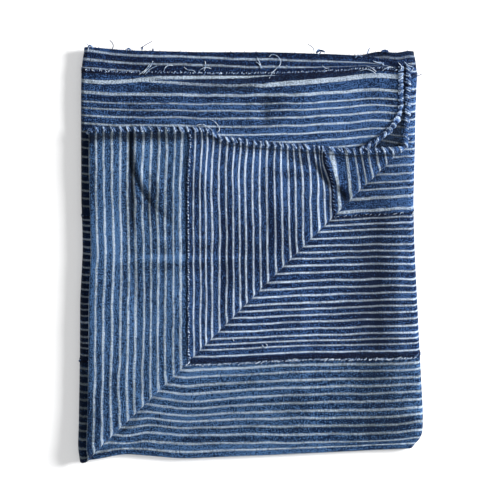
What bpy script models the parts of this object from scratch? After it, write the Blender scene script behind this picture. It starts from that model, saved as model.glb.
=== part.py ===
"""Folded indigo cloth of narrow woven strips sewn edge to edge.

The cloth is folded in half across its strips, then in three leaves along them, and the lower
right corner of the top leaf is turned up over a slanting fold. Every strip is one closed sheet
that runs through all the folds.

Flat cloth: s runs along the strips from a line just past the near hem, t runs across them from
the upper selvedge, w goes through the thickness with its positive side on the outside of the
halved cloth. Lengths are in millimetres until the mesh is made, which is in metres. The folded
stack lies with x to the right, y up the cloth and z up.
"""

import bpy
import numpy as np
from mathutils import Vector
from mathutils.geometry import delaunay_2d_cdt

MM = 0.001

# Cloth
HALF_THICK = 0.6
SEAM_GAP = 0.3
STRIPS = (
    # name, width, red, green, blue
    ("strip_edge_upper", 22.0, 0.035, 0.060, 0.150),
    ("strip_broad_upper", 143.0, 0.070, 0.125, 0.270),
    ("strip_fine_upper", 143.0, 0.050, 0.085, 0.200),
    ("strip_pale_middle", 204.0, 0.120, 0.190, 0.340),
    ("strip_fine_lower", 143.0, 0.050, 0.085, 0.200),
    ("strip_broad_lower", 143.0, 0.070, 0.125, 0.270),
    ("strip_edge_lower", 22.0, 0.035, 0.060, 0.150),
)

# Fold in half across the strips
HALF_WIDTH = 408.2
PLY_HALF_GAP = 1.15
HEM_HALF_GAP = 1.95
HALF_TURN = np.pi * PLY_HALF_GAP

# Three leaves along the strips
NEAR_LINE_X = 175.0
LEFT_BEND_X = -163.8
RIGHT_BEND_X = 162.8
LEAF_GAP = 4.8
BEND_LIFT = 2.0
HEM_LIFT = 1.2
BEND_RUN = np.pi * (LEAF_GAP + BEND_LIFT) / 2
FAR_END_X = -145.0
LEFT_START = NEAR_LINE_X - LEFT_BEND_X
LEFT_END = LEFT_START + BEND_RUN
RIGHT_START = LEFT_END + RIGHT_BEND_X - LEFT_BEND_X
RIGHT_END = RIGHT_START + BEND_RUN
CLOTH_END = RIGHT_END + RIGHT_BEND_X - FAR_END_X
BOTTOM_LEAF_Z = HALF_THICK + PLY_HALF_GAP
MIDDLE_LEAF_Z = BOTTOM_LEAF_Z + LEAF_GAP
TOP_LEAF_Z = MIDDLE_LEAF_Z + LEAF_GAP

# Slanting fold of the top leaf, on the line x - y = CORNER_LINE
CORNER_LINE = 41.8
CORNER_RADIUS = 4.4
SETTLED_RADIUS = 3.0
SETTLE_RUN = 45.0
INNER_STEP_BACK = 24.0
INNER_RUN_MORE = 16.2
INNER_WIDTH_MORE = 4.5
INNER_FROM_V = 40.0
INNER_FULL_V = 150.0

# Rolled near hem: half thickness at distances from the cloth's end
HEM_ROLL = (
    # distance, half thickness
    (0.0, 0.7),
    (0.8, 1.4),
    (2.3, 1.7),
    (3.8, 1.4),
    (4.6, 0.6),
)

# Near hem line of the spread cloth
NEAR_HEM = (
    # t across, x of the end
    (0.0, 153.0),
    (55.0, 153.0),
    (78.0, 151.0),
    (100.0, 147.0),
    (129.0, 136.0),
    (173.0, 134.0),
    (210.0, 141.0),
    (260.0, 150.0),
    (292.0, 161.0),
    (350.0, 164.0),
    (385.0, 168.0),
    (408.0, 173.0),
    (420.0, 174.5),
    (530.0, 174.5),
    (543.0, 165.0),
    (580.0, 160.5),
    (637.0, 156.5),
    (681.0, 152.5),
    (720.0, 154.0),
    (739.0, 157.0),
    (769.0, 160.0),
    (820.0, 161.0),
)

# Outline of the top leaf: its halving fold and its selvedges
TOP_LEAF_EDGES = (
    # x, y of the halving fold, y of the selvedges
    (-169.0, -210.0, 203.5),
    (-130.0, -210.0, 200.0),
    (-50.0, -210.0, 198.0),
    (20.0, -210.0, 198.0),
    (85.0, -210.0, 196.0),
    (120.0, -210.0, 194.0),
    (150.0, -210.0, 187.0),
    (175.0, -210.0, 184.0),
)

# Outline of the two leaves below
LOWER_LEAF_EDGES = (
    # x, y of the halving fold, y of the selvedges
    (-169.0, -210.0, 203.5),
    (-155.0, -208.0, 201.0),
    (-147.0, -207.5, 200.0),
    (-127.0, -202.5, 198.0),
    (-100.0, -204.5, 196.0),
    (-68.0, -207.5, 195.0),
    (-50.0, -206.7, 194.0),
    (30.0, -203.5, 193.0),
    (75.0, -201.3, 193.5),
    (100.0, -200.1, 197.0),
    (115.0, -199.4, 202.0),
    (132.0, -198.6, 205.0),
    (145.0, -198.0, 200.5),
    (158.0, -197.3, 202.0),
    (164.0, -197.1, 200.0),
    (169.0, -197.0, 191.0),
)

# Sideways departure of the left and right folds from straight
SIDE_SHIFT = (
    # y, left fold, right fold
    (-212.0, -1.0, -8.5),
    (-199.0, -3.0, -7.5),
    (-194.0, -3.0, -2.0),
    (-188.0, -2.8, 3.7),
    (-179.0, -2.4, 5.3),
    (-161.0, -2.0, 5.3),
    (-130.0, -1.4, 3.7),
    (-98.0, -1.0, 2.0),
    (-50.0, -1.0, -0.3),
    (-2.0, 1.4, -2.7),
    (22.0, 1.0, -3.5),
    (50.0, 0.0, -4.0),
    (110.0, 0.0, -2.4),
    (140.0, 0.0, -2.0),
    (175.0, 0.3, -0.5),
    (190.0, 1.5, -2.0),
    (200.0, 3.4, -4.5),
    (206.0, 4.0, -6.0),
)

# Centre of the finished outline
CENTRE_X = 0.579
CENTRE_Y = -4.416

# Rounding of the outline's corners, each way
LEAF_EASE = 10.0
SIDE_EASE = 5.0
HEM_EASE = 7.0

# Mesh lines
GRID_S = 46.0
GRID_T = 48.0
BEND_STEPS = 6


def smooth(start, end, value):
    """Zero before start, one after end, eased between."""
    part = np.clip((value - start) / (end - start), 0.0, 1.0)
    return part * part * (3.0 - 2.0 * part)


def column(table, index):
    return np.array([row[index] for row in table])


def read(table, index, value):
    """Straight-line reading of a table's column at values of its first column."""
    return np.interp(value, column(table, 0), column(table, index))


def read_eased(table, index, value, reach):
    """Reading of a table averaged over a short reach each way, which rounds its corners."""
    steps = np.linspace(-reach, reach, 9)
    return sum(read(table, index, value + step) for step in steps) / len(steps)


def near_hem(t):
    """Distance s at which the cloth starts."""
    return NEAR_LINE_X - read_eased(NEAR_HEM, 1, t, HEM_EASE)


def wave_middle(x, y):
    """Low swell of the middle leaf."""
    return 0.35 + 0.35 * np.sin(x / 55.0 + 0.6) * np.cos(y / 70.0)


def wave_top(x, y):
    """Low swell of the top leaf over the middle one."""
    return 0.35 + 0.35 * np.sin(y / 48.0 - 1.0 + x / 160.0)


def height_middle(x, y):
    """Middle of the two plies of the middle leaf, which rises over its right-hand fold."""
    return MIDDLE_LEAF_Z + BEND_LIFT * smooth(110.0, 158.0, x) + wave_middle(x, y)


def height_top(x, y):
    """Middle of the two plies of the top leaf, which rises over its left-hand fold and its hem."""
    left = BEND_LIFT * smooth(-110.0, -158.0, x)
    hem = HEM_LIFT * smooth(100.0, 135.0, x)
    return height_middle(x, y) + LEAF_GAP + left + hem + wave_top(x, y)


def halve(s, t, w):
    """Halving fold: distance up from it, height from the middle of the plies, upper ply's share."""
    gap = PLY_HALF_GAP + (HEM_HALF_GAP - PLY_HALF_GAP) * smooth(70.0, 42.0, s)
    turn = np.clip((t - HALF_WIDTH) / HALF_TURN, 0.0, 1.0) * np.pi
    up = np.where(t < HALF_WIDTH, HALF_WIDTH - t, np.maximum(t - HALF_WIDTH - HALF_TURN, 0.0))
    upper = 0.5 + 0.5 * np.cos(turn)
    return up - (gap + w) * np.sin(turn), (gap + w) * np.cos(turn), upper


def turn_corner(x, y, h, upper):
    """Slanting fold: half a turn up and over, with the inner ply turning further back."""
    v = (x + y) / np.sqrt(2.0)
    d = (x - y - CORNER_LINE) / np.sqrt(2.0)
    inner = upper * smooth(INNER_FROM_V, INNER_FULL_V, v)
    back = INNER_STEP_BACK * inner
    run = np.pi * CORNER_RADIUS + INNER_RUN_MORE * inner
    angle = np.clip((d + back) / run, 0.0, 1.0) * np.pi
    tall = CORNER_RADIUS - h
    wide = tall + INNER_WIDTH_MORE * inner
    before = np.minimum(d + back, 0.0)
    beyond = np.maximum(d + back - run, 0.0)
    across = before - beyond - back + wide * np.sin(angle)
    over = 0.5 - 0.5 * np.cos(angle)
    drop = 2.0 * (CORNER_RADIUS - SETTLED_RADIUS) * smooth(0.0, SETTLE_RUN, -across)
    z = CORNER_RADIUS - tall * np.cos(angle) - drop * over
    diagonal = CORNER_LINE + np.sqrt(2.0) * across
    return (np.sqrt(2.0) * v + diagonal) / 2.0, (np.sqrt(2.0) * v - diagonal) / 2.0, z


def fold(s, t, w):
    """Folded place of points of the spread cloth."""
    up, h, upper = halve(s, t, w)
    share = up / HALF_WIDTH
    leaf_x = NEAR_LINE_X - s
    low = read_eased(TOP_LEAF_EDGES, 1, leaf_x, LEAF_EASE)
    high = read_eased(TOP_LEAF_EDGES, 2, leaf_x, LEAF_EASE)
    top_x, top_y, top_h = turn_corner(leaf_x, low + (high - low) * share, h, upper)
    on_top = s < LEFT_END
    run = np.where(on_top, NEAR_LINE_X - top_x, s)
    h = np.where(on_top, top_h, h)
    left = np.clip((run - LEFT_START) / BEND_RUN, 0.0, 1.0) * np.pi
    right = np.clip((run - RIGHT_START) / BEND_RUN, 0.0, 1.0) * np.pi
    flat_x = np.where(
        run < LEFT_START,
        NEAR_LINE_X - run,
        np.where(
            run < RIGHT_START,
            LEFT_BEND_X + np.maximum(run - LEFT_END, 0.0),
            RIGHT_BEND_X - np.maximum(run - RIGHT_END, 0.0),
        ),
    )
    low = read_eased(LOWER_LEAF_EDGES, 1, flat_x, LEAF_EASE)
    high = read_eased(LOWER_LEAF_EDGES, 2, flat_x, LEAF_EASE)
    lower_y = low + (high - low) * share
    blend = smooth(0.0, np.pi, left)
    y = np.where(on_top, top_y, lower_y) * (1.0 - blend) + lower_y * blend
    middle = height_middle(flat_x, y)
    top = height_top(flat_x, y)
    left_radius = (top - middle) / 2.0
    right_radius = (middle - BOTTOM_LEAF_Z) / 2.0
    left_x = flat_x - (left_radius + h) * np.sin(left)
    left_z = middle + left_radius + (left_radius + h) * np.cos(left)
    right_x = flat_x + (right_radius - h) * np.sin(right)
    right_z = BOTTOM_LEAF_Z + right_radius + (right_radius - h) * np.cos(right)
    past = run > (LEFT_END + RIGHT_START) / 2.0
    x = np.where(past, right_x, left_x)
    z = np.where(past, right_z, left_z)
    left_shift = read_eased(SIDE_SHIFT, 1, y, SIDE_EASE)
    right_shift = np.where(on_top, 0.0, read_eased(SIDE_SHIFT, 2, y, SIDE_EASE))
    x = x + left_shift * smooth(-60.0, -165.0, x) + right_shift * smooth(60.0, 165.0, x)
    return x - CENTRE_X, y - CENTRE_Y, z


def roll(s, t):
    """Half thickness of the cloth, thicker in the rolled near hem."""
    return read(HEM_ROLL, 1, s - near_hem(t))


def corner_line(d_part, side):
    """One line of the slanting fold on the spread cloth: from its start at 0 to its end at 1."""
    v = np.linspace(-280.0, 260.0, 28)
    inner = smooth(INNER_FROM_V, INNER_FULL_V, v) if side > 0 else np.zeros_like(v)
    run = np.pi * CORNER_RADIUS + INNER_RUN_MORE * inner
    d = d_part * run - INNER_STEP_BACK * inner if d_part <= 1.0 else run + d_part
    diagonal = CORNER_LINE + np.sqrt(2.0) * d
    x = (np.sqrt(2.0) * v + diagonal) / 2.0
    y = (np.sqrt(2.0) * v - diagonal) / 2.0
    low = read_eased(TOP_LEAF_EDGES, 1, x, LEAF_EASE)
    high = read_eased(TOP_LEAF_EDGES, 2, x, LEAF_EASE)
    up = (y - low) / (high - low) * HALF_WIDTH
    t = HALF_WIDTH - up if side > 0 else HALF_WIDTH + HALF_TURN + up
    keep = (up > 0.0) & (up < HALF_WIDTH + 8.0) & (x > LEFT_BEND_X - 4.0)
    return np.stack([NEAR_LINE_X - x[keep], t[keep]], axis=1)


def cross_lines():
    """Distances s of the lines across the cloth: close at the two bends, wide apart between."""
    found = []
    for start in (LEFT_START, RIGHT_START):
        found += list(start + BEND_RUN * np.linspace(0.0, 1.0, BEND_STEPS + 1))
        found += [start - 10.0, start - 22.0, start + BEND_RUN + 10.0, start + BEND_RUN + 22.0]
    for start, end in (
        (20.0, LEFT_START - 22.0),
        (LEFT_END + 22.0, RIGHT_START - 22.0),
        (RIGHT_END + 22.0, CLOTH_END),
    ):
        steps = int(np.ceil((end - start) / GRID_S))
        found += list(np.linspace(start, end, steps + 1)[:-1])
    return sorted(set(np.round(found, 6)))


def strip_lines(t_low, t_high):
    """Lines that the strip's mesh follows, as lists of points in s and t."""
    t_step = np.linspace(t_low, t_high, max(2, int(np.ceil((t_high - t_low) / GRID_T)) + 1))
    inside = [t for t in t_step[1:-1] if not HALF_WIDTH - 12 < t < HALF_WIDTH + HALF_TURN + 12]
    if t_low < HALF_WIDTH < t_high:
        inside += list(HALF_WIDTH + HALF_TURN * np.linspace(0.0, 1.0, BEND_STEPS + 1))
    lines = [[(near_hem(t), t), (CLOTH_END, t)] for t in [t_low, t_high] + inside]
    edge_t = [t for t in column(NEAR_HEM, 0) if t_low < t < t_high]
    edge_t = np.array(sorted([t_low, t_high] + edge_t + inside))
    for distance, _ in HEM_ROLL:
        lines.append([(near_hem(t) + distance, t) for t in edge_t])
    for s in cross_lines():
        across = np.linspace(t_low, t_high, 41)
        clear = across[s > near_hem(across) + HEM_ROLL[-1][0] + 1.0]
        if len(clear) > 1:
            lines.append([(s, clear[0]), (s, clear[-1])])
    lines.append([(CLOTH_END, t_low), (CLOTH_END, t_high)])
    parts = list(np.linspace(0.0, 1.0, BEND_STEPS + 1)) + [12.0, 26.0, 44.0]
    for side in (1, -1):
        for part in parts:
            line = corner_line(part, side)
            clipped = clip_line(line, t_low, t_high)
            if len(clipped) > 1:
                lines.append(clipped)
    return lines


def clip_line(line, t_low, t_high):
    """The run of a line between two values of t, with its ends on them."""
    if len(line) < 2:
        return []
    line = line[np.argsort(line[:, 1])]
    low = max(t_low, line[0, 1])
    high = min(t_high, line[-1, 1])
    if high - low < 0.5:
        return []
    inside = line[(line[:, 1] > low + 0.2) & (line[:, 1] < high - 0.2)]
    ends = [(np.interp(t, line[:, 1], line[:, 0]), t) for t in (low, high)]
    return [ends[0], *map(tuple, inside), ends[1]]


def strip_mesh(t_low, t_high):
    """Closed sheet of one strip: outer and inner faces, joined round its edge."""
    points = []
    edges = []
    for line in strip_lines(t_low, t_high):
        for a, b in zip(line, line[1:]):
            edges.append((len(points), len(points) + 1))
            points.extend((Vector(a), Vector(b)))
    found = delaunay_2d_cdt(points, edges, [], 0, 1e-3, False)
    flat = np.array([tuple(p) for p in found[0]])
    faces = np.array([tuple(f) for f in found[2]])
    middle = flat[faces].mean(axis=1)
    keep = middle[:, 0] > near_hem(middle[:, 1])
    keep &= (middle[:, 1] > t_low) & (middle[:, 1] < t_high) & (middle[:, 0] < CLOTH_END)
    faces = faces[keep]
    sides = flat[faces[:, 1]] - flat[faces[:, 0]]
    others = flat[faces[:, 2]] - flat[faces[:, 0]]
    turned = sides[:, 0] * others[:, 1] - sides[:, 1] * others[:, 0] < 0.0
    faces[turned] = faces[turned][:, ::-1]
    used, faces = np.unique(faces, return_inverse=True)
    faces = faces.reshape(-1, 3)
    s, t = flat[used].T
    thick = roll(s, t)
    outer = np.stack(fold(s, t, thick), axis=1)
    inner = np.stack(fold(s, t, -thick), axis=1)
    count = len(used)
    pairs = {(a, b) for face in faces for a, b in zip(face, np.roll(face, -1))}
    rim = [(a, b) for a, b in pairs if (b, a) not in pairs]
    walls = [(b, a, a + count, b + count) for a, b in sorted(rim)]
    return np.concatenate([outer, inner]), faces, count, walls


def add_strip(name, t_low, t_high, colour):
    verts, faces, count, walls = strip_mesh(t_low, t_high)
    outside = [tuple(int(i) for i in face) for face in faces]
    inside = [tuple(int(i) + count for i in face[::-1]) for face in faces]
    rim = [tuple(int(i) for i in wall) for wall in walls]
    mesh = bpy.data.meshes.new(name)
    mesh.from_pydata((verts * MM).tolist(), [], outside + inside + rim)
    mesh.update()
    material = bpy.data.materials.new(name)
    material.use_nodes = True
    shader = material.node_tree.nodes["Principled BSDF"]
    shader.inputs["Base Color"].default_value = (*colour, 1.0)
    shader.inputs["Roughness"].default_value = 0.9
    mesh.materials.append(material)
    strip = bpy.data.objects.new(name, mesh)
    collection = bpy.data.collections.new(name)
    collection.objects.link(strip)
    bpy.context.scene.collection.children.link(collection)
    return verts, len(faces)


for old in list(bpy.data.objects):
    bpy.data.objects.remove(old, do_unlink=True)

t_start = 0.0
low_corner = np.full(3, np.inf)
high_corner = np.full(3, -np.inf)
for strip_name, strip_width, *strip_colour in STRIPS:
    t_end = t_start + strip_width
    strip_verts, strip_faces = add_strip(
        strip_name,
        t_start + SEAM_GAP / 2,
        t_end - SEAM_GAP / 2,
        strip_colour,
    )
    low_corner = np.minimum(low_corner, strip_verts.min(axis=0))
    high_corner = np.maximum(high_corner, strip_verts.max(axis=0))
    print(strip_name, "outer faces", strip_faces)
    t_start = t_end
print("box", low_corner.round(3), high_corner.round(3))
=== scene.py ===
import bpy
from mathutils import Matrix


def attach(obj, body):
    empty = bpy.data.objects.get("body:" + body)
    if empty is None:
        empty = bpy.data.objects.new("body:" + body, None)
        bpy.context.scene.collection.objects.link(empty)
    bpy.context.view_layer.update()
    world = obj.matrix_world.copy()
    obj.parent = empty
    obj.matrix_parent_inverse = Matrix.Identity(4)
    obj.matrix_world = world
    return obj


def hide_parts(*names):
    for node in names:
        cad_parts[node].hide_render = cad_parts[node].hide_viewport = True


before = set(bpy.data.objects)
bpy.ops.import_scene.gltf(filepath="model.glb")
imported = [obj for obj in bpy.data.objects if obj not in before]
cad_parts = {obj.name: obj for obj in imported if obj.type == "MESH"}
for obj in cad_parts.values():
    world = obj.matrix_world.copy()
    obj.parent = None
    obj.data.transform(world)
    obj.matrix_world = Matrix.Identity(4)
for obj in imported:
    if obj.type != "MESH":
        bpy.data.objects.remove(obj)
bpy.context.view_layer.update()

from types import SimpleNamespace

import bpy
import numpy as np
from mathutils import Vector

# The folded cloth of woven strips, built as thin closed sheets that follow their solids' folds.
# Spread cloth: s along the strips from the near hem, t across them, w out of the cloth, in mm.
# Folded: x right, y up the cloth, z up, in mm until a mesh is made.
mm = 0.001

clothSizes = dict(
    halfThick=0.6,
    edgeRound=0.9,        # reach of a strip's rounded edge
    seamGap=0.1,          # left between two strips, under the stitches
    seamRidge=0.55,       # how far the joined edges stand up
    ridgeReach=1.7,
    rowStep=1.9,          # mesh step across the strips
    topStep=2.4,          # mesh step along them, on the leaf that shows
    middleStep=2.8,
    bottomStep=8.0,
    bendStep=0.8,
)

# name, solid replaced, strip's kind, where it starts across the cloth, its width
strips = (
    ("edgeUpper", "strip_edge_upper", "edge", 0.0, 22.0),
    ("broadUpper", "strip_broad_upper", "broad", 22.0, 143.0),
    ("fineUpper", "strip_fine_upper", "fine", 165.0, 143.0),
    ("paleMiddle", "strip_pale_middle", "pale", 308.0, 204.0),
    ("fineLower", "strip_fine_lower", "fine", 512.0, 143.0),
    ("broadLower", "strip_broad_lower", "broad", 655.0, 143.0),
    ("edgeLower", "strip_edge_lower", "edge", 798.0, 22.0),
)
clothWidth = strips[-1][3] + strips[-1][4]

foldSizes = dict(
    halfWidth=408.2, plyHalfGap=1.15, hemHalfGap=1.95,
    nearLineX=175.0, leftBendX=-163.8, rightBendX=162.8, farEndX=-145.0,
    leafGap=4.8, bendLift=2.0, hemLift=1.2,
    cornerLine=41.8, cornerRadius=4.4, settledRadius=3.0, settleRun=45.0,
    innerStepBack=15.0, innerRunMore=16.2, innerWidthMore=4.5, innerFromV=40.0, innerFullV=150.0,
    swell=0.35, centreX=0.579, centreY=-4.416,
)
f = SimpleNamespace(**foldSizes)
halfTurn = np.pi * f.plyHalfGap
bendRun = np.pi * (f.leafGap + f.bendLift) / 2
leftStart = f.nearLineX - f.leftBendX
leftEnd = leftStart + bendRun
rightStart = leftEnd + f.rightBendX - f.leftBendX
rightEnd = rightStart + bendRun
clothEnd = rightEnd + f.rightBendX - f.farEndX
bottomZ = clothSizes["halfThick"] + f.plyHalfGap
middleZ = bottomZ + f.leafGap

# near hem of the spread cloth: t, x of its end
hemLine = np.array((
    (0, 153), (55, 153), (78, 151), (100, 147), (129, 136), (173, 134), (210, 141), (260, 150),
    (292, 161), (350, 164), (385, 168), (408, 173), (420, 174.5), (530, 174.5), (543, 165),
    (580, 160.5), (637, 156.5), (681, 152.5), (720, 154), (739, 157), (769, 160), (820, 161),
), float)

# outline of the top leaf: x, y of the halving fold, y of the selvedges
topEdges = np.array((
    (-169, -210, 203.5), (-130, -210, 200), (-50, -210, 198), (20, -210, 198),
    (85, -210, 196), (120, -210, 194), (150, -210, 187), (175, -210, 184),
), float)

# outline of the two leaves below it, in the same columns
lowerEdges = np.array((
    (-169, -210, 203.5), (-155, -208, 201), (-147, -207.5, 200), (-127, -202.5, 198),
    (-100, -204.5, 196), (-68, -207.5, 195), (-50, -206.7, 194), (30, -203.5, 193),
    (75, -201.3, 193.5), (100, -200.1, 194.5), (132, -198.6, 196), (169, -197, 196),
), float)

# how far the selvedge at the back strays from that line: x, y
backEdge = np.array((
    (70, 0), (100, 0), (114, 0.3), (122, 1.8), (131, 3.2), (139, 3.0), (147, 1.9), (153, 1.8),
    (160, 3.4), (166, 4.0), (172, 2.0),
), float)

# how far the left and right folds stray sideways: y, left, right
sideShift = np.array((
    (-212, -1, -8.5), (-199, -3, -7.5), (-194, -3, -2), (-188, -2.8, 3.7), (-179, -2.4, 5.3),
    (-161, -2, 5.3), (-130, -1.4, 3.7), (-98, -1, 2), (-50, -1, -0.3), (-2, 1.4, -2.7),
    (22, 1, -3.5), (50, 0, -4), (110, 0, -2.4), (140, 0, -2), (175, 0.3, -0.5),
    (190, 1.5, -2), (200, 3.4, -4.5), (206, 4, -6),
), float)

# slack and pull across the strips, where each ply shows: distance up from the halving fold, shift
slack = dict(
    topLower=np.array(((0, 0), (100, -4.5), (243, 0.4), (386, 0), (408, 0)), float),
    middleLower=np.array(((0, 0), (100, -5), (243, -5), (386, -3), (408, 0)), float),
)

# how far the stripes of the uppermost ply ride up or down below its edge strip: x, y
topRise = np.array((
    (-175, -3), (-150, -3), (-100, -1.6), (-50, -1.6), (0, -1.8), (50, 0), (90, 3.5), (110, 6.5),
    (130, 9.5), (150, 12), (175, 13),
), float)

# the flap eased in the plan: x, y, reach in x, reach in y, move in x, move in y
flapEase = np.array((
    (-65, 112, 50, 32, 4.5, 0), (-140, -175, 40, 50, -4.0, 0), (-150, 60, 22, 60, -2.0, 0),
    (-113, 60, 10, 45, -1.6, 0), (-108, -60, 9, 50, 1.4, 0), (-85, -95, 7, 40, -1.2, 0),
    (62, 75, 18, 25, 1.5, -1.0), (78, 90, 7.5, 20, -5.2, 0), (-30, 20, 12, 35, 1.1, 0),
    (6, 110, 40, 26, 4.6, 0), (-112, 48, 6, 12, 2.0, 0), (-96, 40, 6, 14, -1.5, 0),
    (-100, -165, 10, 14, 2.4, 0), (-120, -190, 8, 10, -2.0, 0),
), float)

# the leaves below, eased up or down in the plan: x, y, reach in x, reach in y, move in y
lowerEase = np.array((
    (50, -12, 55, 42, 4.5), (45, -108, 45, 30, 1.8), (140, -112, 35, 30, -1.2),
    (132, -180, 52, 34, -5.0), (60, -188, 60, 26, -3.2), (160, 40, 14, 30, 1.5),
    (-122, -181, 15, 24, -4.2), (-60, -150, 40, 18, -3.0), (-101, -176, 12, 20, 0.8),
    (164, 95, 12, 50, 2.5), (130, 22, 52, 75, 3.4), (135, 88, 40, 28, 3.2),
), float)

# soft troughs and ridges on the folded cloth: x, y, x, y, half width, height
creases = np.array((
    (-120, 122, -119, 82, 2.4, -3.6),      # the flap's long trough, from its hem
    (-119, 85, -118, 22, 2.2, -2.8),
    (-118, 22, -110, -150, 4.5, -1.0),
    (-113, 84, -106, 62, 3.4, 2.2),        # the puckered triangle beside it
    (-119, 86, -108, 58, 2.2, -2.6),
    (-108, 58, -98, 44, 2.6, -2.8),
    (-98, 44, -74, 22, 3.2, -1.5),
    (-98, 78, -90, 54, 4.0, 1.4),
    (-84, 80, -80, 10, 4.0, -0.8),
    (-65, 112, -64, -90, 2.0, -1.0),       # along the seam
    (70, 104, 84, 72, 4.0, 2.6),           # the strong slanting ridge under the flap's hem
    (84, 72, 95, 56, 3.6, 2.0),
    (88, 62, 97, 47, 3.2, -3.0),
    (62, 88, 80, 62, 3.6, -2.8),
    (76, 56, 84, 20, 5.0, -1.0),
    (40, 86, 64, 85, 3.6, -1.8),
    (-20, 95, -14, 40, 5.0, 0.9),
    (10, 100, 16, 20, 5.0, -0.9),
    (28, 96, 34, 50, 4.5, 0.8),
    (-110, -8, 20, -8, 3.0, 1.0),          # old fold lines across the flap
    (-105, 12, 10, 12, 3.0, 0.8),
    (-150, 40, -62, 46, 5.0, -0.7),
    (-148, -60, -62, -56, 6.0, 0.7),
    (-148, -112, -80, -118, 6.0, -0.7),
    (-135, -203, -104, -160, 5.0, 1.8),    # the lower left, where the stripes jog
    (-124, -206, -92, -168, 4.0, -1.5),
    (-100, -150, -60, -152, 5.0, 1.2),
    (-60, -165, -5, -166, 6.0, -0.8),
    (-40, -140, 30, -136, 6.0, 0.7),
    (126, 30, 124, -110, 7.0, -1.6),       # troughs running down beside the right fold
    (148, 20, 150, -120, 5.0, 1.2),
    (55, -40, 56, -190, 6.0, 0.8),
    (95, -30, 93, -190, 8.0, 0.6),
    (20, -120, 160, -117, 8.0, -0.6),
    (-100, 173, -30, 168, 2.6, 1.8),       # the pleat under the upper seam
    (-30, 168, 20, 168, 2.6, 2.0),
    (-80, 164, 8, 162, 2.4, -2.6),
    (12, 172, 60, 176, 3.0, 2.0),
    (60, 176, 140, 179, 3.0, 1.8),
    (-160, 158, -60, 152, 5.0, 0.7),
    (-150, 142, 40, 138, 5.0, -0.6),
    (60, 155, 66, 118, 5.0, -0.9),
    (14, 158, 18, 122, 5.0, -1.8),
    (2, 158, 2, 122, 5.0, 1.2),
    (32, 160, 36, 122, 6.0, 1.0),
    (100, 160, 108, 125, 5.0, 0.8),
    (-162, 190, -163, -190, 3.0, -0.8),    # down the left margin
), float)


def smooth(start, end, value):
    # nought before start, one after end, with an S curve between
    part = np.clip((value - start) / (end - start), 0.0, 1.0)
    return part * part * (3.0 - 2.0 * part)


def readTable(table, column, value, reach=0.0):
    # straight-line reading of a column at a value of the first, averaged over a short reach
    steps = np.linspace(-reach, reach, 9) if reach else (0.0,)
    return sum(np.interp(value + step, table[:, 0], table[:, column]) for step in steps) / len(steps)


def bellSum(table, x, y, column=4):
    # sum of a column's amounts, each falling away as a bell about its row's place
    total = np.zeros_like(x)
    for row in table:
        total += row[column] * np.exp(-(((x - row[0]) / row[2]) ** 2) - ((y - row[1]) / row[3]) ** 2)
    return total


def lineBell(line, x, y, past, within):
    # a height along a short line, falling away as a bell on both sides and fading over its ends
    x0, y0, x1, y1, width, height = line
    length = np.hypot(x1 - x0, y1 - y0)
    along = ((x - x0) * (x1 - x0) + (y - y0) * (y1 - y0)) / length
    aside = ((x - x0) * (y1 - y0) - (y - y0) * (x1 - x0)) / length
    ends = smooth(-past, within, along) * smooth(length + past, length - within, along)
    return height * ends * np.exp(-((aside / width) ** 2))


def nearHem(t):
    # distance along the strips at which the cloth starts
    return f.nearLineX - readTable(hemLine, 1, t, 7.0)


def heightMiddle(x, y):
    # middle leaf: level, a rise over its right-hand fold, and a low swell
    swell = f.swell + f.swell * np.sin(x / 55.0 + 0.6) * np.cos(y / 70.0)
    return middleZ + f.bendLift * smooth(110.0, 158.0, x) + swell


def heightTop(x, y):
    # top leaf: a leaf's gap above the middle one, rising at its left fold and its hem
    rise = f.bendLift * smooth(-110.0, -158.0, x) + f.hemLift * smooth(100.0, 135.0, x)
    level = heightMiddle(x, y) + f.leafGap + rise
    return level + f.swell + f.swell * np.sin(y / 48.0 - 1.0 + x / 160.0)


def halve(s, t, w):
    # halving fold: a half circle round the middle of the two plies
    gap = f.plyHalfGap + (f.hemHalfGap - f.plyHalfGap) * smooth(70.0, 42.0, s)
    turn = np.clip((t - f.halfWidth) / halfTurn, 0.0, 1.0) * np.pi
    upper = 0.5 + 0.5 * np.cos(turn)
    up = np.where(t < f.halfWidth, f.halfWidth - t, np.maximum(t - f.halfWidth - halfTurn, 0.0))
    onTop = smooth(leftEnd, leftStart, s)
    onMiddle = smooth(leftStart, leftEnd, s) * smooth(rightEnd, rightStart, s)
    up = up + (1 - upper) * onTop * readTable(slack["topLower"], 1, up, 12.0)
    up = up + (1 - upper) * onMiddle * readTable(slack["middleLower"], 1, up, 12.0)
    return up - (gap + w) * np.sin(turn), (gap + w) * np.cos(turn), upper


def turnCorner(x, y, h, upper):
    # slanting fold: half an ellipse up and over the line x - y = cornerLine, settling beyond it
    v = (x + y) / np.sqrt(2.0)
    d = (x - y - f.cornerLine) / np.sqrt(2.0)
    inner = upper * smooth(f.innerFromV, f.innerFullV, v)
    back = f.innerStepBack * inner
    run = np.pi * f.cornerRadius + f.innerRunMore * inner
    angle = np.clip((d + back) / run, 0.0, 1.0) * np.pi
    tall = f.cornerRadius - h
    wide = tall + f.innerWidthMore * inner
    across = np.minimum(d + back, 0.0) - np.maximum(d + back - run, 0.0) - back + wide * np.sin(angle)
    drop = 2.0 * (f.cornerRadius - f.settledRadius) * smooth(0.0, f.settleRun, -across)
    z = f.cornerRadius - tall * np.cos(angle) - drop * (0.5 - 0.5 * np.cos(angle))
    diagonal = f.cornerLine + np.sqrt(2.0) * across
    turned = 0.5 - 0.5 * np.cos(angle)
    return (np.sqrt(2.0) * v + diagonal) / 2.0, (np.sqrt(2.0) * v - diagonal) / 2.0, z, turned


def creaseHeight(x, y):
    # sum of the troughs' and ridges' bells
    return sum(lineBell(line, x, y, 9.0, 9.0) for line in creases)


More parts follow.
